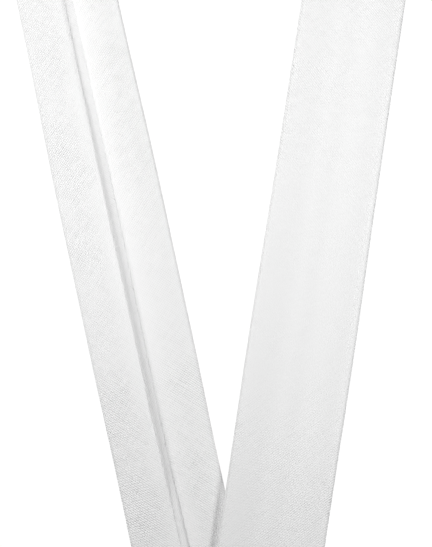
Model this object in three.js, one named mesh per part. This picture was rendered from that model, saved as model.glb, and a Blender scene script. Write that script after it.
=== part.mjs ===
// A cut length of white single-fold bias tape, turned over once into a narrow V and lying flat.
//
// The tape is one strip of plain-weave cotton cut on the bias. Its two long raw edges are pressed
// in to the middle and stop short of each other, so a slit runs down the back of the tape. The left
// arm lies back side up and shows the slit. At the point of the V the strip turns over on itself, so
// the right arm lies face up, crosses over the left arm near the turn and then comes down to the table.
//
// Millimetres, +Z up. The V opens along +Y, and the origin is under the middle of the whole length.

import * as THREE from "three";

// The pressed tape
const CUT_LENGTH = 360; // along the middle of the strip
const FINISHED_WIDTH = 20; // across the two pressed folds
const CLOTH = 1; // thickness of each layer
const LAYER_GAP = 0.3; // clear space between the face layer and a turned-in flap
const SLIT_LEFT = -1.3; // where the left raw edge stops, from the middle of the tape
const SLIT_RIGHT = 1; // where the right raw edge stops

// How the tape lies
const V_ANGLE = THREE.MathUtils.degToRad(21.3); // between the two arms
const LEFT_ARM = 176; // from the left cut end to the turn
const TURN_HOLLOW = 0.6; // radius of the open space inside the turn
const ARM_GAP = 0.4; // clear space between the two arms where they cross
const SETTLE_LENGTH = 14; // over which the upper arm sinks from the turn onto the lower one
const DESCENT_START = 50; // just past the crossing, the upper arm starts down to the table
const DESCENT_END = 96; // and from here on it lies flat
const SKEW_END = 60; // the mesh's rows lie along the turn up to about here, and square across beyond

// Worked out from the sizes above
const STACK = CLOTH + LAYER_GAP + CLOTH; // thickness of the pressed tape
const EDGE_RADIUS = STACK / 2; // outside of a pressed fold
const PRESSED = FINISHED_WIDTH / 2 - EDGE_RADIUS; // where a pressed fold starts to bend
const TURN_RADIUS = STACK + TURN_HOLLOW; // outside of the turn
const TURN_LENGTH = Math.PI * TURN_RADIUS; // cloth that the turn takes up
const HALF_V = V_ANGLE / 2; // an arm's slant from +Y, and the turn's slant across the tape
const RIGHT_ARM = CUT_LENGTH - LEFT_ARM;
const CROSSING_HEIGHT = STACK + ARM_GAP + STACK; // top of the upper arm over the lower one

// Smoothness of the mesh
const FACE_PIECES = 2; // straight pieces across the face layer
const FLAP_PIECES = 3; // straight pieces across each flap
const ARC_DIVISIONS = 2; // half the pieces of each pressed fold

// The tape is not quite even. Distances run along the strip from the turn, and are negative on the
// left arm. width is the pressed width there, and the lifts are how far each raw edge stands up.
const UNEVENNESS = [
  { along: -LEFT_ARM, width: 19.4, leftLift: 0.3, rightLift: 0.2 },
  { along: -145, width: 19.5, leftLift: 0.4, rightLift: 0.3 },
  { along: -110, width: 20.1, leftLift: 0.5, rightLift: 0.5 },
  { along: -80, width: 19.9, leftLift: 0.4, rightLift: 0.5 },
  { along: -52, width: 19.4, leftLift: 0, rightLift: 0 },
  { along: 0, width: 19.8, leftLift: 0, rightLift: 0 },
  { along: 50, width: 19.9, leftLift: 0, rightLift: 0 },
  { along: 90, width: 20.4, leftLift: 0, rightLift: 0 },
  { along: 120, width: 20.1, leftLift: 0, rightLift: 0 },
  { along: RIGHT_ARM, width: 20.2, leftLift: 0, rightLift: 0 },
];

// Rows of the mesh along the strip: close together at the turn, far apart where the tape is flat.
const ROW_ZONES = [
  { from: -LEFT_ARM, to: -60, rows: 12 },
  { from: -60, to: -4, rows: 7 },
  { from: -4, to: TURN_LENGTH + 4, rows: 18 },
  { from: TURN_LENGTH + 4, to: 58, rows: 6 },
  { from: 58, to: 110, rows: 9 },
  { from: 110, to: RIGHT_ARM, rows: 7 },
];

const ease = (from, to, x) => THREE.MathUtils.smoothstep(x, from, to);

// One column of the unevenness table at a place along the strip, eased from row to row.
function uneven(column, along) {
  const last = UNEVENNESS.length - 1;
  const found = UNEVENNESS.findIndex((row) => row.along >= along);
  const next = found < 0 ? last : Math.max(found, 1);
  const [a, b] = [UNEVENNESS[next - 1], UNEVENNESS[next]];
  return THREE.MathUtils.lerp(a[column], b[column], ease(a.along, b.along, along));
}

// Adds a straight run to an outline in several equal pieces, so that it can bend later.
function runTo(outline, x, y, pieces) {
  const start = outline.currentPoint.clone();
  const end = new THREE.Vector2(x, y);
  for (let i = 1; i <= pieces; i += 1) {
    const point = start.clone().lerp(end, i / pieces);
    outline.lineTo(point.x, point.y);
  }
}

// The pressed tape in section, back side up: the face layer below, and the two flaps turned in above it.
function pressedSection() {
  const flapUnder = CLOTH + LAYER_GAP;
  const innerRadius = LAYER_GAP / 2;
  const quarter = Math.PI / 2;
  const outline = new THREE.Shape();
  outline.moveTo(-PRESSED, 0);
  runTo(outline, PRESSED, 0, FACE_PIECES);
  outline.absarc(PRESSED, EDGE_RADIUS, EDGE_RADIUS, -quarter, quarter, false);
  runTo(outline, SLIT_RIGHT, STACK, FLAP_PIECES);
  outline.lineTo(SLIT_RIGHT, flapUnder);
  runTo(outline, PRESSED, flapUnder, FLAP_PIECES);
  outline.absarc(PRESSED, EDGE_RADIUS, innerRadius, quarter, -quarter, true);
  runTo(outline, -PRESSED, CLOTH, FACE_PIECES);
  outline.absarc(-PRESSED, EDGE_RADIUS, innerRadius, -quarter, -3 * quarter, true);
  runTo(outline, SLIT_LEFT, flapUnder, FLAP_PIECES);
  outline.lineTo(SLIT_LEFT, STACK);
  runTo(outline, -PRESSED, STACK, FLAP_PIECES);
  outline.absarc(-PRESSED, EDGE_RADIUS, EDGE_RADIUS, quarter, 3 * quarter, false);
  return outline;
}

// Where each row of the mesh lies along the strip.
function rowPlaces() {
  const places = [ROW_ZONES[0].from];
  for (const { from, to, rows } of ROW_ZONES) {
    for (let i = 1; i <= rows; i += 1) places.push(THREE.MathUtils.lerp(from, to, i / rows));
  }
  return places;
}

// Height of the upper arm's top face, and its slope, at a distance from the turn.
function upperArm(run) {
  const heightAt = (y) => {
    const settled = THREE.MathUtils.lerp(2 * TURN_RADIUS, CROSSING_HEIGHT, ease(0, SETTLE_LENGTH, y));
    return THREE.MathUtils.lerp(settled, STACK, ease(DESCENT_START, DESCENT_END, y));
  };
  const step = 0.01;
  return { height: heightAt(run), slope: (heightAt(run + step) - heightAt(run - step)) / (2 * step) };
}

// The path of the tape's face, seen along the turn: flat on the table, round the turn, and back above.
// In it, travel is the distance from the turn square to its line, and inward points from the face to the back.
function pathAt(travel) {
  if (travel <= 0) {
    return { y: -travel, z: 0, inward: new THREE.Vector2(0, 1) };
  }
  if (travel < TURN_LENGTH) {
    const angle = travel / TURN_RADIUS;
    const inward = new THREE.Vector2(Math.sin(angle), Math.cos(angle));
    return { y: -TURN_RADIUS * inward.x, z: TURN_RADIUS * (1 - inward.y), inward };
  }
  const y = travel - TURN_LENGTH;
  const { height, slope } = upperArm(y);
  return { y, z: height, inward: new THREE.Vector2(slope, -1).normalize() };
}

// How far a point of a flap is lifted, from nothing at its pressed fold to the raw edge's lift.
function flapLift(along, across, depth) {
  if (depth < CLOTH + LAYER_GAP / 2 || Math.abs(across) > PRESSED) return 0;
  const left = across < 0;
  const edge = left ? SLIT_LEFT : SLIT_RIGHT;
  const share = (PRESSED - Math.abs(across)) / (PRESSED - Math.abs(edge));
  return uneven(left ? "leftLift" : "rightLift", along) * share * share;
}

// Lays a point of the pressed tape down: along and across the strip, and depth from the face to the back.
function lay(along, across, depth) {
  const stretched = (across * uneven("width", along)) / FINISHED_WIDTH;
  const skew = 1 - ease(SKEW_END / 2, 2 * SKEW_END, Math.abs(along));
  const place = along + stretched * Math.tan(HALF_V) * skew;
  const travel = place * Math.cos(HALF_V) - stretched * Math.sin(HALF_V);
  const x = place * Math.sin(HALF_V) + stretched * Math.cos(HALF_V);
  const { y, z, inward } = pathAt(travel);
  const raised = depth + flapLift(along, across, depth);
  return new THREE.Vector3(x, y + raised * inward.x, z + raised * inward.y);
}

// The whole tape: its section drawn out straight, then laid down row by row.
function makeTape() {
  const places = rowPlaces();
  const steps = places.length - 1;
  const geometry = new THREE.ExtrudeGeometry(pressedSection(), {
    depth: 1,
    steps,
    curveSegments: ARC_DIVISIONS,
    bevelEnabled: false,
  });
  geometry.deleteAttribute("uv");
  const points = geometry.getAttribute("position");
  for (let i = 0; i < points.count; i += 1) {
    const along = places[Math.round(points.getZ(i) * steps)];
    const laid = lay(along, points.getX(i), points.getY(i));
    points.setXYZ(i, laid.x, laid.y, laid.z);
  }
  geometry.computeVertexNormals();
  geometry.computeBoundingBox();
  const cotton = new THREE.MeshStandardMaterial({ color: 0xf2f2f0, roughness: 0.9, metalness: 0 });
  const tape = new THREE.Mesh(geometry, cotton);
  tape.name = "bias_tape";
  const middle = geometry.boundingBox.getCenter(new THREE.Vector3());
  tape.position.set(-middle.x, -middle.y, 0);
  return tape;
}

const foldedTape = new THREE.Group();
foldedTape.add(makeTape());

export default foldedTape;
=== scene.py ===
# %% [markdown]
# # A folded length of bias tape
# Bias tape is a narrow strip of plain-weave cotton, cut at 45 degrees to its threads so that it can
# bend round a curve. Both raw edges are pressed in to the back, and they stop short of each other, so
# a slit runs down the back of the tape. Here a cut length lies in a narrow V: the left arm shows the
# back with its slit, the tape turns over at the point of the V, and the right arm shows the face.
#
# The solid model is loaded first as a fixed frame, and everything else is fitted to it.

# %% Load the frame
import math
import random

import bmesh
import bpy
from mathutils import Matrix, Vector


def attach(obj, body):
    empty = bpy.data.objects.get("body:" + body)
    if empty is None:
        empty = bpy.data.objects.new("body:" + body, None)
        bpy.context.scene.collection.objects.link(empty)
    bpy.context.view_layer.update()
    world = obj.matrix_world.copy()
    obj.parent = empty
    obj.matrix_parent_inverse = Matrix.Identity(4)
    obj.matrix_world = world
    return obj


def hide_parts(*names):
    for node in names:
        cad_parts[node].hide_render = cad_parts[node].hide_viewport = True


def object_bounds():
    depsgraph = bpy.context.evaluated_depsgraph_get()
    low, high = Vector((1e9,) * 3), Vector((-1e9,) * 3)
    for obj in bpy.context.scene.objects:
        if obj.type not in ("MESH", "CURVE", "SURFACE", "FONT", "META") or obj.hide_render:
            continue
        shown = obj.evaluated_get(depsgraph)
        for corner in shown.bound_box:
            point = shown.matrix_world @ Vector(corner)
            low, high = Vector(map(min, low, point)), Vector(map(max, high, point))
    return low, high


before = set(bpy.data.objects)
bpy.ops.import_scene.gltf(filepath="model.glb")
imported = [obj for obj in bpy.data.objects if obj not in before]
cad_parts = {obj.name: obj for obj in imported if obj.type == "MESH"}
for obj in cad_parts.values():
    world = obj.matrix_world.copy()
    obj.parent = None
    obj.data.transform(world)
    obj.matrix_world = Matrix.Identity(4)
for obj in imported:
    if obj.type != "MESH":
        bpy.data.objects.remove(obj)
solid_low, solid_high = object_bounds()
MM = 0.001
print("solid pieces:", len(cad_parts))
print("solid box, mm:", [round(size / MM, 1) for size in solid_high - solid_low])

# %% [markdown]
# ## Camera
# The tape is seen from almost straight above with a long lens, so the camera is placed by an angle and
# a distance from one point on the table. A long lens keeps the far and near ends of the arms alike in
# width. The camera is turned a little as well, so that the V leans to the left.

# %% Camera
PICTURE_HEIGHT = 547  # pixels
FOCAL_LENGTH = 2000  # pixels
SENSOR = 36.0  # mm, along the picture's long side
ELEVATION = math.radians(80)
DISTANCE = 383.2 * MM
LEAN = math.radians(1.686)  # of the V's middle line in the picture, to the left
LOOK_AT = Vector((-0.75, 4.34, 0)) * MM

camera_data = bpy.data.cameras.new("Camera")
camera_data.lens = SENSOR * FOCAL_LENGTH / PICTURE_HEIGHT
camera_data.sensor_width = SENSOR
camera = bpy.data.objects.new("Camera", camera_data)
picture_up = Vector((math.sin(LEAN), math.cos(LEAN), 0))
towards_camera = math.sin(ELEVATION) * Vector((0, 0, 1)) - math.cos(ELEVATION) * picture_up
camera.location = LOOK_AT + DISTANCE * towards_camera
camera.rotation_euler = (math.pi / 2 - ELEVATION, 0, -LEAN)
bpy.context.scene.collection.objects.link(camera)
bpy.context.scene.camera = camera
print("lens, mm:", round(camera_data.lens, 1))

# %% [markdown]
# ## The flat strip
# Cloth is easiest to believe when it starts as the flat piece that was cut. A grid is made as one flat
# strip, with more columns where the edges will be pressed and more rows where the tape will turn over.
# Each point keeps its flat place in a UV map, so the weave later follows the cloth through every fold.
# Along means the distance from the turn, negative on the left arm, and across means the distance from
# the middle of the face. All sizes here are in millimetres.

# %% The flat strip
LEFT_ARM = 176.0
RIGHT_ARM = 184.0
CUT_LENGTH = LEFT_ARM + RIGHT_ARM
FINISHED_WIDTH = 20.0
CLOTH = 0.3  # thickness of the cotton
FOLD_RADIUS = 0.22  # of a pressed fold, at the middle of the cloth's thickness
SLIT_LEFT = 0.9  # from the middle of the tape to the left raw edge
SLIT_RIGHT = 1.0
LIP = 2.4  # stretch beside a raw edge that has closer columns
GRID_HALF = 0.5  # of the square grid that the strip starts as

FACE_HALF = FINISHED_WIDTH / 2 - FOLD_RADIUS - CLOTH / 2
FOLD_LENGTH = math.pi * FOLD_RADIUS
FLAP_START = FACE_HALF + FOLD_LENGTH
LEFT_CUT = FLAP_START + FACE_HALF - SLIT_LEFT
RIGHT_CUT = FLAP_START + FACE_HALF - SLIT_RIGHT
CUT_WIDTH = LEFT_CUT + RIGHT_CUT

TURN_RADIUS = 2.9  # outside of the turn
TURN_LENGTH = math.pi * TURN_RADIUS

COLUMN_ZONES = [
    (-LEFT_CUT, -LEFT_CUT + LIP, 14),
    (-LEFT_CUT + LIP, -FLAP_START, 14),
    (-FLAP_START, -FACE_HALF, 8),
    (-FACE_HALF, FACE_HALF, 40),
    (FACE_HALF, FLAP_START, 8),
    (FLAP_START, RIGHT_CUT - LIP, 14),
    (RIGHT_CUT - LIP, RIGHT_CUT, 14),
]
ROW_ZONES = [
    (-LEFT_ARM, -60, 64),
    (-60, -4, 34),
    (-4, TURN_LENGTH + 4, 56),
    (TURN_LENGTH + 4, 58, 26),
    (58, 110, 30),
    (110, RIGHT_ARM, 40),
]


def spaced(zones):
    """Places from zones of (first, last, steps) that follow each other."""
    places = [zones[0][0]]
    for first, last, steps in zones:
        places += [first + (last - first) * i / steps for i in range(1, steps + 1)]
    return places


columns = spaced(COLUMN_ZONES)
rows = spaced(ROW_ZONES)
strip = bmesh.new()
bmesh.ops.create_grid(
    strip, x_segments=len(columns) - 1, y_segments=len(rows) - 1, size=GRID_HALF, calc_uvs=False
)
for point in strip.verts:
    column = round((point.co.x + GRID_HALF) * (len(columns) - 1))
    row = round((point.co.y + GRID_HALF) * (len(rows) - 1))
    point.co = (columns[column], rows[row], 0)
print("flat strip, mm:", round(CUT_WIDTH, 1), "by", CUT_LENGTH, "with", len(strip.faces), "faces")

# %% [markdown]
# ## How uneven the tape is
# No length of tape is quite even. It is wider in one place than in another, and a pressed flap never lies
# flat: it springs up past its fold, and its raw edge rolls down to the face here and stands up there, so
# the two lips of the slit wander. On the other arm the face sinks a little over the slit behind it. A
# noise would make all of this alike along the whole tape, so short tables hold it instead, eased from row
# to row.

# %% How uneven the tape is
# along, width of the pressed tape
WIDTHS = [
    (-LEFT_ARM, 19.4),
    (-145, 19.5),
    (-110, 20.1),
    (-80, 19.9),
    (-52, 19.4),
    (0, 19.8),
    (50, 19.9),
    (90, 20.4),
    (120, 20.1),
    (RIGHT_ARM, 20.2),
]
# along, then for the left flap and the right one: spring of the flap, height of its raw edge above the
# face layer, how far that edge strays to the right, and the share of the flap, from its fold to its raw
# edge, where it stands highest and the roll starts
FLAPS = [
    (-LEFT_ARM, 0.03, 0.10, 0.20, 0.90, 0.25, 0.00, 0.05, 0.50),
    (-147, 0.03, 0.10, 0.20, 0.90, 0.25, 0.00, 0.05, 0.50),
    (-134, 0.06, 0.20, 0.05, 0.86, 0.31, 0.00, 0.05, 0.50),
    (-123, 0.16, 0.42, 0.00, 0.90, 0.34, 0.00, 0.00, 0.45),
    (-111, 0.16, 0.57, -0.06, 0.88, 0.35, 0.02, 0.00, 0.45),
    (-100, 0.20, 0.65, -0.10, 0.86, 0.33, 0.00, -0.05, 0.45),
    (-87, 0.28, 0.74, -0.06, 0.84, 0.34, 0.00, -0.18, 0.45),
    (-73, 0.35, 0.74, -0.06, 0.88, 0.36, 0.00, -0.30, 0.45),
    (-64, 0.31, 0.80, -0.15, 0.88, 0.32, 0.00, -0.38, 0.50),
    (-55, 0.26, 0.66, 0.02, 0.88, 0.40, 0.03, -0.32, 0.50),
    (-46, 0.10, 0.10, 0.12, 0.72, 0.42, 0.18, -0.06, 0.45),
    (-37, 0.06, 0.06, 0.20, 0.65, 0.50, 0.20, 0.08, 0.45),
    (-10, 0.03, 0.28, 0.00, 0.60, 0.03, 0.28, 0.00, 0.60),
    (RIGHT_ARM, 0.03, 0.28, 0.00, 0.60, 0.03, 0.28, 0.00, 0.60),
]
LEFT_FLAP = 1  # first of the left flap's four columns
RIGHT_FLAP = 5
# across, height of the face layer's relief on the right arm, towards the flaps
FACE_RELIEF = [
    (-10, 0),
    (-5.5, 0.08),
    (-1.1, 0),
    (1.4, 0.06),
    (4.3, 0),
    (8, 0.08),
    (10, 0),
]


def ease(first, last, x):
    """A smooth step from 0 at first to 1 at last."""
    share = min(max((x - first) / (last - first), 0), 1)
    return share * share * (3 - 2 * share)


def eased(table, x, column=1):
    """One column of a table at x, eased from row to row."""
    for before, after in zip(table, table[1:]):
        if x <= after[0]:
            break
    return before[column] + (after[column] - before[column]) * ease(before[0], after[0], x)


widths = [width for along, width in WIDTHS]
print("pressed width, mm: from", min(widths), "to", max(widths))

# %% [markdown]
# ## Pressing the edges in
# The iron folds each side over to the back. Seen end on, a side runs flat, goes round half a circle and
# comes back over the face, so a function can say where each point of the flat strip ends up. Bending a
# finished mesh would stretch it, and this keeps the cloth at the size that it was cut to. Where the upper
# arm crosses the lower one, it presses the lower arm's flaps nearly flat.

# %% Pressing the edges in
PRESSED_STACK = CLOTH + 2 * FOLD_RADIUS
EDGE_REST = 0.03  # of a raw edge that touches the face layer, from that layer's surface
ROLL_SHARPNESS = 2.0  # a higher one keeps the flap flat for longer and bends it more at its edge
RELIEF_START = 30.0  # along, from where the face shows its relief
RELIEF_FULL = 60.0
HALF_V = math.radians(21.3) / 2  # slant of each arm, and of the turn across the tape
SKEW_END = 60.0  # rows lie along the turn up to about here, and square across beyond
SINK = 0.9  # share of a flap's spring that the upper arm presses out of the lower one
SINK_WIDTH = 2.6  # beside the upper arm's edge, where the lower arm's flaps sink under it


def ease_in(first, last, x):
    """A step from 0 at first to 1 at last that starts softly and is steepest at its end."""
    return min(max((x - first) / (last - first), 0), 1) ** ROLL_SHARPNESS


def slanted(across, row):
    """Distance along the tape of a place on a row: rows slant with the turn, and lie square far from it."""
    return row + across * math.tan(HALF_V) * (1 - ease(SKEW_END / 2, 2 * SKEW_END, abs(row)))


def covered(across, row):
    """1 for a place on the lower arm that is under the upper one, and 0 for one that is clear of it."""
    along = slanted(across, row)
    right = along * math.sin(HALF_V) + across * math.cos(HALF_V)
    up = across * math.sin(HALF_V) - along * math.cos(HALF_V)
    edge_right = -FINISHED_WIDTH / 2 * math.cos(HALF_V)
    edge_up = FINISHED_WIDTH / 2 * math.sin(HALF_V) - TURN_LENGTH
    past_edge = (right - edge_right) * math.cos(HALF_V) - (up - edge_up) * math.sin(HALF_V)
    return ease(-SINK_WIDTH, 0, past_edge)


def pressed(across, along):
    """Where a flat point lies in the pressed tape: its place across, and its depth behind the face."""
    side = math.copysign(1, across)
    flat = abs(across)
    depth = CLOTH / 2
    if flat <= FACE_HALF:
        relief = eased(FACE_RELIEF, across) * ease(RELIEF_START, RELIEF_FULL, along)
        return across, depth + relief
    if flat < FLAP_START:
        angle = (flat - FACE_HALF) / FOLD_RADIUS
        place = FACE_HALF + FOLD_RADIUS * math.sin(angle)
        return side * place, depth + FOLD_RADIUS * (1 - math.cos(angle))
    cut, column = (LEFT_CUT, LEFT_FLAP) if side < 0 else (RIGHT_CUT, RIGHT_FLAP)
    share = (flat - FLAP_START) / (cut - FLAP_START)
    spring, edge_height, stray, roll = (eased(FLAPS, along, column + i) for i in range(4))
    place = side * (FACE_HALF - (flat - FLAP_START)) + stray * share
    spring *= 1 - SINK * covered(place, along)
    flap_depth = depth + 2 * FOLD_RADIUS + spring * ease(0, roll, share)
    edge_depth = CLOTH + EDGE_REST + edge_height
    rolled = ease_in(roll, 1, share)
    flap_depth += (edge_depth - flap_depth) * rolled
    return place, flap_depth


print("thickness at the pressed folds, mm:", round(PRESSED_STACK, 2))

# %% [markdown]
# ## Laying the tape down
# The pressed tape is laid along a path, seen along the line of the turn: flat on the table, half a turn
# round, and back over itself. A straight strip that turns over on a slanted line comes back at twice
# that slant, which is what makes the V. The upper arm sinks from the loose turn onto the lower arm,
# stays on it as far as the crossing, and then comes down to the table.

# %% Laying the tape down
TABLE_GAP = 0.03  # keeps the cloth clear of the table top
CROSSING_HEIGHT = 2.0  # top of the upper arm over the lower one
SETTLE_LENGTH = 26.0  # from the turn, over which the upper arm sinks onto the lower one
DESCENT_START = 44.0  # from the turn, where it starts down to the table
DESCENT_END = 96.0
END_CLEARANCE = 0.08  # room under the upper arm's flaps where it lies on the table
ARM_END_HEIGHT = PRESSED_STACK + END_CLEARANCE
SLOPE_STEP = 0.01  # over which the upper arm's slope is measured


def upper_height(run):
    """Height of the upper arm's face at a distance from the turn."""
    sunk = 2 * TURN_RADIUS + (CROSSING_HEIGHT - 2 * TURN_RADIUS) * ease(0, SETTLE_LENGTH, run)
    return sunk + (ARM_END_HEIGHT - sunk) * ease(DESCENT_START, DESCENT_END, run)


def path(travel):
    """A place on the tape's face, and the way from the face to the back, both as (y, z)."""
    if travel <= 0:
        return (-travel, TABLE_GAP), (0, 1)
    if travel < TURN_LENGTH:
        angle = travel / TURN_RADIUS
        place = (-TURN_RADIUS * math.sin(angle), TURN_RADIUS * (1 - math.cos(angle)))
        return place, (math.sin(angle), math.cos(angle))
    run = travel - TURN_LENGTH
    rise = upper_height(run + SLOPE_STEP) - upper_height(run - SLOPE_STEP)
    slope = rise / (2 * SLOPE_STEP)
    length = math.hypot(slope, 1)
    return (run, upper_height(run)), (slope / length, -1 / length)


def laid(flat_across, row):
    """A point of the flat cloth: its distance along the tape, and its place on the table."""
    across, depth = pressed(flat_across, row)
    along = slanted(across, row)
    across *= eased(WIDTHS, along) / FINISHED_WIDTH
    travel = along * math.cos(HALF_V) - across * math.sin(HALF_V)
    (y, z), (back_y, back_z) = path(travel)
    x = along * math.sin(HALF_V) + across * math.cos(HALF_V)
    return along, Vector((x, y + depth * back_y, z + depth * back_z))


print("height of the turn, mm:", 2 * TURN_RADIUS)

# %% [markdown]
# ## The cloth as one piece
# Every point of the flat strip now moves to its place on the table. The strip is still a sheet without
# thickness, so a Solidify modifier gives it the cotton's 0.3 mm. A vertex group tells the modifier to thin
# the cloth out at the raw edges, where the last threads are loose.

# %% The cloth as one piece
UV_NAME = "FlatCloth"
FRAYED = 0.6  # stretch beside a raw edge where the cloth thins out
THIN_EDGE = 0.15  # share of the thickness that is left at a raw edge
flat_map = strip.loops.layers.uv.new(UV_NAME)
fullness = strip.verts.layers.deform.verify()
flat_place = {}
for point in strip.verts:
    across = point.co.x
    along, place = laid(across, point.co.y)
    point[fullness][0] = min(1, min(across + LEFT_CUT, RIGHT_CUT - across) / FRAYED)
    flat_place[point] = ((across + LEFT_CUT) / CUT_LENGTH, (along + LEFT_ARM) / CUT_LENGTH)
    point.co = place * MM
for face in strip.faces:
    face.smooth = True
    for corner in face.loops:
        corner[flat_map].uv = flat_place[corner.vert]

middle_x = sum(limit(point.co.x for point in strip.verts) for limit in (min, max)) / 2
to_frame = Vector((-middle_x, solid_low.y + TURN_RADIUS * MM, 0))
bmesh.ops.translate(strip, verts=strip.verts, vec=to_frame)
bmesh.ops.recalc_face_normals(strip, faces=strip.faces)
tape_mesh = bpy.data.meshes.new("bias_tape_cloth")
strip.to_mesh(tape_mesh)
strip.free()
tape = bpy.data.objects.new("bias_tape_cloth", tape_mesh)
bpy.context.scene.collection.objects.link(tape)
thickness = tape.modifiers.new("Cotton thickness", "SOLIDIFY")
thickness.thickness = CLOTH * MM
thickness.offset = 0
thickness.use_even_offset = True
tape.vertex_groups.new(name="Cloth fullness")
thickness.vertex_group = "Cloth fullness"
thickness.thickness_vertex_group = THIN_EDGE
print("laid tape, mm:", [round(size / MM, 1) for size in tape.dimensions])

# %% [markdown]
# ## Nodes and colours
# A finish is a small tree of nodes. They could be placed by hand in the editor, but a script can say where
# each number comes from. One helper adds a node with its settings and links, and the other turns a colour
# as a screen shows it into the linear light that the renderer adds up.

# %% Nodes and colours
def add_node(tree, kind, settings=None, inputs=None, stops=None):
    """Adds a node: its settings, its inputs as values or links, and a ramp's (place, tone) stops."""
    node = tree.nodes.new(kind)
    for name, value in (settings or {}).items():
        setattr(node, name, value)
    for name, value in (inputs or {}).items():
        if isinstance(value, bpy.types.NodeSocket):
            tree.links.new(value, node.inputs[name])
        else:
            node.inputs[name].default_value = value
    if stops:
        node.color_ramp.interpolation = "EASE"
        marks = node.color_ramp.elements
        marks.remove(marks[1])
        marks[0].position = stops[0][0]
        for place, tone in stops[1:]:
            marks.new(place)
        for mark, (place, tone) in zip(marks, stops):
            mark.color = (tone, tone, tone, 1)
    return node


def linear(hex_colour):
    """An sRGB hex colour as linear red, green, blue and alpha."""
    parts = [int(hex_colour[i : i + 2], 16) / 255 for i in (0, 2, 4)]
    return [p / 12.92 if p <= 0.04045 else ((p + 0.055) / 1.055) ** 2.4 for p in parts] + [1]


print("mid grey in linear light:", round(linear("808080")[0], 3))

# %% [markdown]
# ## Threads
# The cloth is bleached cotton in plain weave, with threads about 0.37 mm apart that lie at 45 degrees to
# the tape. Each set of threads is drawn as a wave across it. Spun cotton is never even, so each set also
# has thick and thin places, drawn as noise that is stretched along its threads. A picture of cloth could
# give all this too, but waves stay sharp from any distance.

# %% Threads
THREAD_PITCH = 0.37  # mm
THREAD_ANGLE = math.radians(45)
SLUB_LENGTH = 3.0  # mm, of a thick or thin place in a thread
SLUB_RATE = 0.8  # thick or thin places in one thread's width, and in one SLUB_LENGTH
SLUB_DETAIL = 1.0  # octaves of finer noise
SLUB_DEPTH = 0.9  # how much such a place moves the height of its thread


def thread_waves(tree, flat):
    """The wave across each of the two sets of threads, and the thick and thin places of each set."""
    # One unit of the threads' own axes is one thread.
    threads = CUT_LENGTH / THREAD_PITCH
    turned = add_node(
        tree,
        "ShaderNodeMapping",
        inputs={"Vector": flat, "Scale": (threads, threads, 1), "Rotation": (0, 0, THREAD_ANGLE)},
    ).outputs[0]
    crossing = add_node(tree, "ShaderNodeSeparateXYZ", inputs={0: turned})
    waves = []
    slubs = []
    stretch = THREAD_PITCH / SLUB_LENGTH
    for axis, scale in (("X", (1, stretch, 1)), ("Y", (stretch, 1, 1))):
        angle = add_node(
            tree, "ShaderNodeMath", {"operation": "MULTIPLY"}, {0: crossing.outputs[axis], 1: math.pi}
        )
        wave = add_node(tree, "ShaderNodeMath", {"operation": "SINE"}, {0: angle.outputs[0]})
        waves.append(wave.outputs[0])
        along_thread = add_node(tree, "ShaderNodeMapping", inputs={"Vector": turned, "Scale": scale})
        slub = add_node(
            tree,
            "ShaderNodeTexNoise",
            {"noise_dimensions": "2D"},
            {"Vector": along_thread.outputs[0], "Scale": SLUB_RATE, "Detail": SLUB_DETAIL},
        )
        uneven = add_node(
            tree,
            "ShaderNodeMath",
            {"operation": "MULTIPLY_ADD"},
            {0: slub.outputs[0], 1: SLUB_DEPTH, 2: -SLUB_DEPTH / 2},
        )
        slubs.append(uneven.outputs[0])
    return waves, slubs


print("threads across the pressed tape:", round(FINISHED_WIDTH / THREAD_PITCH))

# %% [markdown]
# ## Over and under
# In plain weave each thread goes over one and under the next. Up close this gives rows of tiny pillows with
# dark gaps between them, and from a step away a fine diagonal grain. At each crossing the higher thread
# wins. A strip cut on the bias is pulled a little this way and that, so first one set of threads stands
# out and then the other.

# %% Over and under
THREAD_WAVE = 0.45  # how far a thread goes up and down, against its own roundness
PULL = 0.35  # how much one set of threads stands out over the other
PULL_LENGTH = 180.0  # mm of the strip from one set to the other and back


def thread_heights(tree, flat, along):
    """Height of the weave at a place on the flat cloth: that of the higher of the two threads."""
    waves, slubs = thread_waves(tree, flat)

    # Along the strip, first one set of threads stands out more and then the other.
    sway = add_node(
        tree,
        "ShaderNodeMath",
        {"operation": "MULTIPLY"},
        {0: along, 1: math.tau * CUT_LENGTH / PULL_LENGTH},
    )
    pull = add_node(tree, "ShaderNodeMath", {"operation": "SINE"}, {0: sway.outputs[0]})

    # The sign of the two waves' product says which set is over at a crossing.
    product = add_node(tree, "ShaderNodeMath", {"operation": "MULTIPLY"}, {0: waves[0], 1: waves[1]})
    over = add_node(tree, "ShaderNodeMath", {"operation": "SIGN"}, {0: product.outputs[0]})
    rounded = [
        add_node(tree, "ShaderNodeMath", {"operation": "ABSOLUTE"}, {0: wave}).outputs[0] for wave in waves
    ]
    heights = []
    for own, other, way in ((0, 1, 1), (1, 0, -1)):
        lift = add_node(
            tree,
            "ShaderNodeMath",
            {"operation": "MULTIPLY"},
            {0: over.outputs[0], 1: way * THREAD_WAVE},
        )
        thread = add_node(
            tree,
            "ShaderNodeMath",
            {"operation": "MULTIPLY_ADD"},
            {0: rounded[other], 1: lift.outputs[0], 2: rounded[own]},
        )
        uneven = add_node(
            tree, "ShaderNodeMath", {"operation": "ADD"}, {0: thread.outputs[0], 1: slubs[own]}
        )
        pulled = add_node(
            tree,
            "ShaderNodeMath",
            {"operation": "MULTIPLY_ADD"},
            {0: pull.outputs[0], 1: way * PULL, 2: uneven.outputs[0]},
        )
        heights.append(pulled.outputs[0])
    height = add_node(tree, "ShaderNodeMath", {"operation": "MAXIMUM"}, {0: heights[0], 1: heights[1]})
    return height.outputs[0]


print("pulls this way and that along the strip:", CUT_LENGTH / PULL_LENGTH)

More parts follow.
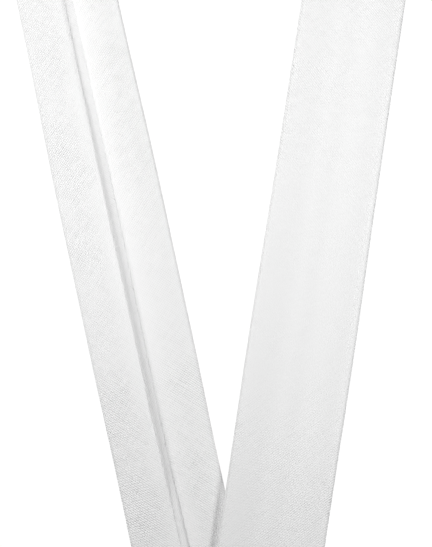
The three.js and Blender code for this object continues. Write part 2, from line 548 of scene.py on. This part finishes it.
# %% [markdown]
# ## Where the weave shows
# The iron flattens the face more than the flaps, and not evenly along the tape, so the weave is plain to
# see in one place and almost gone in another. Along the raw edges a painted highlight whitens the cloth
# and hides the weave.
# Two short tables and a soft noise are multiplied here: the tables for what changes along and across the
# tape, and the noise for the patches that nobody could plan.

# %% Where the weave shows
WEAVE_MOST = 1.4  # strength of the weave where both tables say 1
FACE_SHOWS = 0.39  # share of the weave that shows on the face
# across, share of the weave that shows there
WEAVE_ACROSS = [
    (-10.8, 1.0),
    (-8.3, FACE_SHOWS),
    (8.2, FACE_SHOWS),
    (10.7, 0.78),
]
# along, share of the weave that shows there
WEAVE_ALONG = [
    (-LEFT_ARM, 0.85),
    (-115, 0.85),
    (-102, 0.65),
    (-93, 0.4),
    (-77, 0.42),
    (-68, 0.88),
    (-41, 0.85),
    (62, 1.0),
    (76, 0.5),
    (115, 0.5),
    (130, 0.95),
    (RIGHT_ARM, 1.0),
]
PATCH_SIZE = 14.0  # mm, of the patches where the weave shows less
PATCH_DETAIL = 2.0  # octaves of finer noise
PATCH_WEAVE = 0.6  # share of the weave that shows in the middle of a patch
PATCH_MIDDLE = 0.35  # the noise there
PATCH_EDGE = 0.65  # the noise from where the weave shows fully
# a painted highlight along each raw edge, which also hides the weave there
EDGE_HIGHLIGHT_WIDTH = 4.0  # mm, of the whiter stretch along a raw edge
EDGE_HIGHLIGHT_SHARE = 0.35  # of the whiter tone, at the edge itself


def flat_places(table, start):
    """A table's rows, with each distance made a place in the UV map, which begins at minus start."""
    return [((distance + start) / CUT_LENGTH, share) for distance, share in table]


def edge_highlight_share(tree, across):
    """How much painted highlight, a whiter tone, lies on a place, which is most at a raw edge."""
    # Inputs 1 to 4 of a range are what it maps from, low and high, and what it maps to.
    from_right = add_node(
        tree, "ShaderNodeMath", {"operation": "SUBTRACT"}, {0: CUT_WIDTH / CUT_LENGTH, 1: across}
    )
    from_edge = add_node(
        tree, "ShaderNodeMath", {"operation": "MINIMUM"}, {0: across, 1: from_right.outputs[0]}
    )
    edge_highlight = add_node(
        tree,
        "ShaderNodeMapRange",
        {"interpolation_type": "SMOOTHSTEP"},
        {"Value": from_edge.outputs[0], 1: 0.0, 2: EDGE_HIGHLIGHT_WIDTH / CUT_LENGTH, 3: EDGE_HIGHLIGHT_SHARE, 4: 0.0},
    )
    return edge_highlight.outputs[0]


def weave_share(tree, flat, across, along, edge_highlight):
    """How much of the weave shows at a place on the flat cloth."""
    patch = add_node(
        tree,
        "ShaderNodeTexNoise",
        {"noise_dimensions": "2D"},
        {"Vector": flat, "Scale": CUT_LENGTH / PATCH_SIZE, "Detail": PATCH_DETAIL},
    )
    patchy = add_node(
        tree,
        "ShaderNodeMapRange",
        inputs={"Value": patch.outputs[0], 1: PATCH_MIDDLE, 2: PATCH_EDGE, 3: PATCH_WEAVE, 4: 1.0},
    )
    clear = add_node(tree, "ShaderNodeMath", {"operation": "SUBTRACT"}, {0: 1.0, 1: edge_highlight})
    pressed_flat = add_node(
        tree, "ShaderNodeValToRGB", inputs={0: across}, stops=flat_places(WEAVE_ACROSS, LEFT_CUT)
    )
    ironed = add_node(
        tree, "ShaderNodeValToRGB", inputs={0: along}, stops=flat_places(WEAVE_ALONG, LEFT_ARM)
    )
    shown = WEAVE_MOST
    for share in (ironed, pressed_flat, patchy, clear):
        both = add_node(tree, "ShaderNodeMath", {"operation": "MULTIPLY"}, {0: share.outputs[0], 1: shown})
        shown = both.outputs[0]
    return shown


print("weave strength on the face, at most:", round(WEAVE_MOST * FACE_SHOWS, 2))

# %% [markdown]
# ## Painted shade at the folds and on the face
# Painted shade draws a fine darker line along each pressed fold, at both edges of the tape. On the face,
# painted shade lies in faint bands that run the length of the tape, over the two flaps behind it. Both are
# only a share of a darker tone.

# %% Painted shade at the folds and on the face
# painted shade along each pressed fold
FOLD_SHADE_WIDTH = 0.6  # mm, of the duller stretch on each side of a pressed fold's middle
FOLD_SHADE_SHARE = 0.4  # of the darker tone, at the fold's middle
# across, share of the painted shade in the bands along the face
FACE_SHADE_BANDS = [
    (-FLAP_START, 0.0),
    (-8, 0.04),
    (-5, 0.07),
    (-4, 0.06),
    (-2, 0.015),
    (0.5, 0.025),
    (2, 0.01),
    (5, 0.0),
    (8, 0.05),
    (FLAP_START, 0.0),
]


def painted_shade_share(tree, across):
    """How much painted shade lies at a place across the flat cloth, at the folds and in bands on the face.
    """
    from_middle = add_node(
        tree, "ShaderNodeMath", {"operation": "SUBTRACT"}, {0: across, 1: LEFT_CUT / CUT_LENGTH}
    )
    sideways = add_node(tree, "ShaderNodeMath", {"operation": "ABSOLUTE"}, {0: from_middle.outputs[0]})
    from_fold = add_node(
        tree,
        "ShaderNodeMath",
        {"operation": "SUBTRACT"},
        {0: sideways.outputs[0], 1: (FACE_HALF + FLAP_START) / 2 / CUT_LENGTH},
    )
    near_fold = add_node(tree, "ShaderNodeMath", {"operation": "ABSOLUTE"}, {0: from_fold.outputs[0]})
    # Painted shade along both pressed folds.
    fold_shade = add_node(
        tree,
        "ShaderNodeMapRange",
        {"interpolation_type": "SMOOTHSTEP"},
        {"Value": near_fold.outputs[0], 1: 0.0, 2: FOLD_SHADE_WIDTH / CUT_LENGTH, 3: FOLD_SHADE_SHARE, 4: 0.0},
    )
    # Painted shade in faint bands along the face.
    bands = add_node(
        tree, "ShaderNodeValToRGB", inputs={0: across}, stops=flat_places(FACE_SHADE_BANDS, LEFT_CUT)
    )
    painted_shade = add_node(
        tree, "ShaderNodeMath", {"operation": "ADD"}, {0: fold_shade.outputs[0], 1: bands.outputs[0]}
    )
    return painted_shade.outputs[0]


print("darkest band along the face, share:", max(share for place, share in FACE_SHADE_BANDS))

# %% [markdown]
# ## Bleached cotton
# The finish itself is simple: matt white fibres, with painted shade in the gaps between the threads. That
# painted shade is mixed in by the height of the weave, and the same height drives a bump, because the
# pillows are too small to model. Where no weave shows, the cloth has an even painted shade, the tone that
# the weave has from far away.

# %% Bleached cotton
RELIEF = 0.06  # mm, height of the weave
THREAD_TOP = "FAFAFA"
# grey of the painted shade: in the gaps between the threads, along the pressed folds and in bands on the
# face
PAINTED_SHADE_GREY = "AEAEAE"
# painted highlight along the raw edges, and the whiter fibres that mottle a loose thread
FUZZ_AND_HIGHLIGHT = "FCFCFC"
# painted shade: where no weave shows, the cloth gets this share of the gap grey all over
EVEN_GAP_SHADE = 0.175  # share of the gaps in the tone that the cloth has where no weave shows
COTTON_ROUGHNESS = 0.9
COTTON_SPECULAR = 0.2  # loose fibres shine less than a smooth surface


def plain_weave_cotton():
    """Pressed plain-weave cotton, drawn on the flat cloth's own UV map."""
    material = bpy.data.materials.new("Plain-weave cotton")
    material.use_nodes = True
    tree = material.node_tree
    shader = tree.nodes["Principled BSDF"]
    shader.inputs["Roughness"].default_value = COTTON_ROUGHNESS
    shader.inputs["Specular IOR Level"].default_value = COTTON_SPECULAR
    flat = add_node(tree, "ShaderNodeUVMap", {"uv_map": UV_NAME}).outputs["UV"]
    sides = add_node(tree, "ShaderNodeSeparateXYZ", inputs={0: flat})
    across, along = sides.outputs["X"], sides.outputs["Y"]
    height = thread_heights(tree, flat, along)
    # Painted highlight along the raw edges.
    edge_highlight = edge_highlight_share(tree, across)
    shown = weave_share(tree, flat, across, along, edge_highlight)

    # Painted shade in the gaps between the threads: the lower the weave, the more of the grey.
    dip = add_node(
        tree, "ShaderNodeMath", {"operation": "SUBTRACT", "use_clamp": True}, {0: 1.0, 1: height}
    )
    apart = add_node(
        tree, "ShaderNodeMath", {"operation": "SUBTRACT"}, {0: dip.outputs[0], 1: EVEN_GAP_SHADE}
    )
    gap = add_node(
        tree,
        "ShaderNodeMath",
        {"operation": "MULTIPLY_ADD"},
        {0: apart.outputs[0], 1: shown, 2: EVEN_GAP_SHADE},
    )

    # Inputs 6 and 7 of a colour mix are its two colours, and output 2 is the mixed one.
    # Painted shade at the folds and in bands along the face.
    painted_shade = painted_shade_share(tree, across)
    colour = linear(THREAD_TOP)
    # The mixes lay on the painted gap shade, the painted highlight along the raw edges, and the painted
    # shade at the folds and face bands.
    for share, tone in ((gap.outputs[0], PAINTED_SHADE_GREY), (edge_highlight, FUZZ_AND_HIGHLIGHT), (painted_shade, PAINTED_SHADE_GREY)):
        mixed = add_node(
            tree, "ShaderNodeMix", {"data_type": "RGBA"}, {0: share, 6: colour, 7: linear(tone)}
        )
        colour = mixed.outputs[2]
    tree.links.new(colour, shader.inputs["Base Color"])

    raised = add_node(tree, "ShaderNodeMath", {"operation": "MULTIPLY"}, {0: height, 1: shown})
    bump = add_node(
        tree,
        "ShaderNodeBump",
        inputs={"Strength": 1.0, "Distance": RELIEF * MM, "Height": raised.outputs[0]},
    )
    tree.links.new(bump.outputs["Normal"], shader.inputs["Normal"])
    return material


tape.data.materials.append(plain_weave_cotton())
print("nodes of the cotton:", len(tape.data.materials[0].node_tree.nodes))

# %% [markdown]
# ## Loose thread ends
# Cloth that is cut on the bias hardly frays, but every thread ends at the cut, and many stand out by a
# fraction of a millimetre. They soften the raw edges beside the slit and both cut ends. Hair could make
# them, but a mesh keeps them in the exported model, so each is a short tapered stub that leaves the edge
# along one of the two thread directions. Its length and slant are chances from a fixed seed.

# %% Loose thread ends
END_PITCH = THREAD_PITCH / math.cos(THREAD_ANGLE)  # along an edge, between the threads of one set
STUB_RADIUS = 0.045
STUB_SIDES = 4
STUB_TAPER = 0.3  # width of a stub's tip, as a share of its root
STUB_INSET = 0.2  # how far a stub starts inside the edge
STUB_LENGTHS = (0.12, 0.4)
STRAY_SHARE = 0.04  # of the stubs, longer ones
STRAY_LENGTH = 0.8
SHOWN_SHARE = 0.7  # of the threads, the ones that stand out
SLANT_SPREAD = 0.12  # radians, of a stub's direction round its thread's
CHANCE_SEED = 5

chances = random.Random(CHANCE_SEED)
stub_maker = bmesh.new()
one_stub = bpy.data.meshes.new("one_thread_end")


def add_stub(start, outward):
    """A stub at a flat place on an edge, in one of the two thread directions, as (across, along)."""
    if chances.random() > SHOWN_SHARE:
        return
    length = chances.uniform(*STUB_LENGTHS)
    if chances.random() < STRAY_SHARE:
        length = STRAY_LENGTH
    slant = chances.choice((-1, 1)) * THREAD_ANGLE + chances.gauss(0, SLANT_SPREAD)
    across, along = outward
    way = Vector((across, along)) * math.cos(slant) + Vector((-along, across)) * math.sin(slant)
    root = laid(*(start - way * STUB_INSET))[1] * MM
    tip = laid(*(start + way * length))[1] * MM
    turn = (tip - root).to_track_quat("Z", "Y").to_matrix().to_4x4()
    stub = bmesh.new()
    bmesh.ops.create_cone(
        stub,
        cap_ends=True,
        segments=STUB_SIDES,
        radius1=STUB_RADIUS * MM,
        radius2=STUB_RADIUS * MM * STUB_TAPER,
        depth=(tip - root).length,
        matrix=Matrix.Translation((root + tip) / 2 + to_frame) @ turn,
    )
    stub.to_mesh(one_stub)
    stub.free()
    stub_maker.from_mesh(one_stub)


# Both sets of threads end at every edge, so their ends lie half a pitch apart.
for edge, side in ((-LEFT_CUT, -1), (RIGHT_CUT, 1)):
    for i in range(int(CUT_LENGTH / END_PITCH) * 2):
        add_stub(Vector((edge, -LEFT_ARM + (i + 0.5) * END_PITCH / 2)), (side, 0))
for end, side in ((-LEFT_ARM, -1), (RIGHT_ARM, 1)):
    for i in range(int(CUT_WIDTH / END_PITCH) * 2):
        add_stub(Vector((-LEFT_CUT + (i + 0.5) * END_PITCH / 2, end)), (0, side))
for face in stub_maker.faces:
    face.smooth = True
stub_mesh = bpy.data.meshes.new("thread_ends")
stub_maker.to_mesh(stub_mesh)
stub_maker.free()
bpy.data.meshes.remove(one_stub)
thread_ends = bpy.data.objects.new("thread_ends", stub_mesh)
bpy.context.scene.collection.objects.link(thread_ends)
stubs = len(stub_mesh.vertices) // (2 * STUB_SIDES)
print("thread ends:", stubs, "with", len(stub_mesh.polygons), "faces")

# %% [markdown]
# ## Loose cotton thread
# A loose end is the same bleached cotton, but spun and not woven, so the weave's pattern would be wrong on
# it. Its fibres lie this way and that, which mottles the tone a little. A single fibre is too fine to show,
# so the mottle is drawn about ten times as coarse.

# %% Loose cotton thread
COTTON = "F5F5F5"  # mottled with the whiter FUZZ_AND_HIGHLIGHT
LOOSE_ROUGHNESS = 0.95
FIBRE_MOTTLE = 0.15  # mm, coarser than a fibre so that it shows


def loose_cotton_thread():
    """Spun cotton on its own: fibres that lie unevenly, so the tone is mottled."""
    material = bpy.data.materials.new("Loose cotton thread")
    material.use_nodes = True
    tree = material.node_tree
    shader = tree.nodes["Principled BSDF"]
    shader.inputs["Roughness"].default_value = LOOSE_ROUGHNESS
    shader.inputs["Specular IOR Level"].default_value = COTTON_SPECULAR
    place = add_node(tree, "ShaderNodeTexCoord").outputs["Object"]
    fibres = add_node(
        tree, "ShaderNodeTexNoise", inputs={"Vector": place, "Scale": 1 / (FIBRE_MOTTLE * MM)}
    )
    colour = add_node(
        tree,
        "ShaderNodeMix",
        {"data_type": "RGBA"},
        {0: fibres.outputs[0], 6: linear(COTTON), 7: linear(FUZZ_AND_HIGHLIGHT)},
    )
    tree.links.new(colour.outputs[2], shader.inputs["Base Color"])
    return material


thread_ends.data.materials.append(loose_cotton_thread())
print("mottle of the loose thread, mm:", FIBRE_MOTTLE)

# %% [markdown]
# ## Table
# The table is plain white. It has a little glow of its own, so that it reads as a pure white ground, and a
# grey base colour, so that it doesn't throw too much light back up into the cloth.

# %% Table
FLOOR_SIZE = 3000.0
TABLE_TONE = "6C6C6C"
TABLE_GLOW = 0.9
TABLE_ROUGHNESS = 0.9
WHITE = "FFFFFF"
floor_maker = bmesh.new()
bmesh.ops.create_grid(floor_maker, x_segments=1, y_segments=1, size=FLOOR_SIZE / 2 * MM)
floor_mesh = bpy.data.meshes.new("table_top")
floor_maker.to_mesh(floor_mesh)
floor_maker.free()
floor = bpy.data.objects.new("table_top", floor_mesh)
bpy.context.scene.collection.objects.link(floor)
paper = bpy.data.materials.new("White table top")
paper.use_nodes = True
paper_shader = paper.node_tree.nodes["Principled BSDF"]
paper_shader.inputs["Base Color"].default_value = linear(TABLE_TONE)
paper_shader.inputs["Roughness"].default_value = TABLE_ROUGHNESS
paper_shader.inputs["Emission Color"].default_value = linear(WHITE)
paper_shader.inputs["Emission Strength"].default_value = TABLE_GLOW
floor_mesh.materials.append(paper)
print("table, m:", FLOOR_SIZE * MM)

# %% [markdown]
# ## Light
# White cloth on white shows its shape only by soft shading. Three soft lamps stand at the sides, low enough
# for each raw edge to throw a thin shadow into the slit, and one hangs above the far half, so that the arms
# get darker towards the turn. A faint light from the whole room keeps the shadows open.

# %% Light
ROOM_LIGHT = 0.05
# name, place and aim in mm, side of its square in mm, power in watts
LAMPS = [
    ("Left lamp", (-250, 50, 120), (-20, 10, 0), 200, 0.6),
    ("Right lamp", (165, -60, 110), (0, -40, 0), 60, 0.16),
    ("Far right lamp", (190, 140, 110), (20, 20, 0), 80, 0.095),
    ("Lamp above", (5, 62, 150), (5, 62, 0), 100, 0.136),
]
for name, place, aim, size, power in LAMPS:
    lamp_data = bpy.data.lights.new(name, "AREA")
    lamp_data.size = size * MM
    lamp_data.energy = power
    lamp = bpy.data.objects.new(name, lamp_data)
    lamp.location = Vector(place) * MM
    lamp.rotation_euler = (Vector(aim) - Vector(place)).to_track_quat("-Z", "Y").to_euler()
    bpy.context.scene.collection.objects.link(lamp)

world = bpy.data.worlds.new("Soft room light")
world.use_nodes = True
room = world.node_tree.nodes["Background"]
room.inputs["Color"].default_value = linear(WHITE)
room.inputs["Strength"].default_value = ROOM_LIGHT
bpy.context.scene.world = world
bpy.context.scene.view_settings.view_transform = "Standard"
print("lamps:", len(LAMPS))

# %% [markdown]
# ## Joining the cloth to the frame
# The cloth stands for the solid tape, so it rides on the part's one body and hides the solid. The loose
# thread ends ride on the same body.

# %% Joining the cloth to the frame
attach(tape, "root")
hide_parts("bias_tape")
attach(thread_ends, "root")
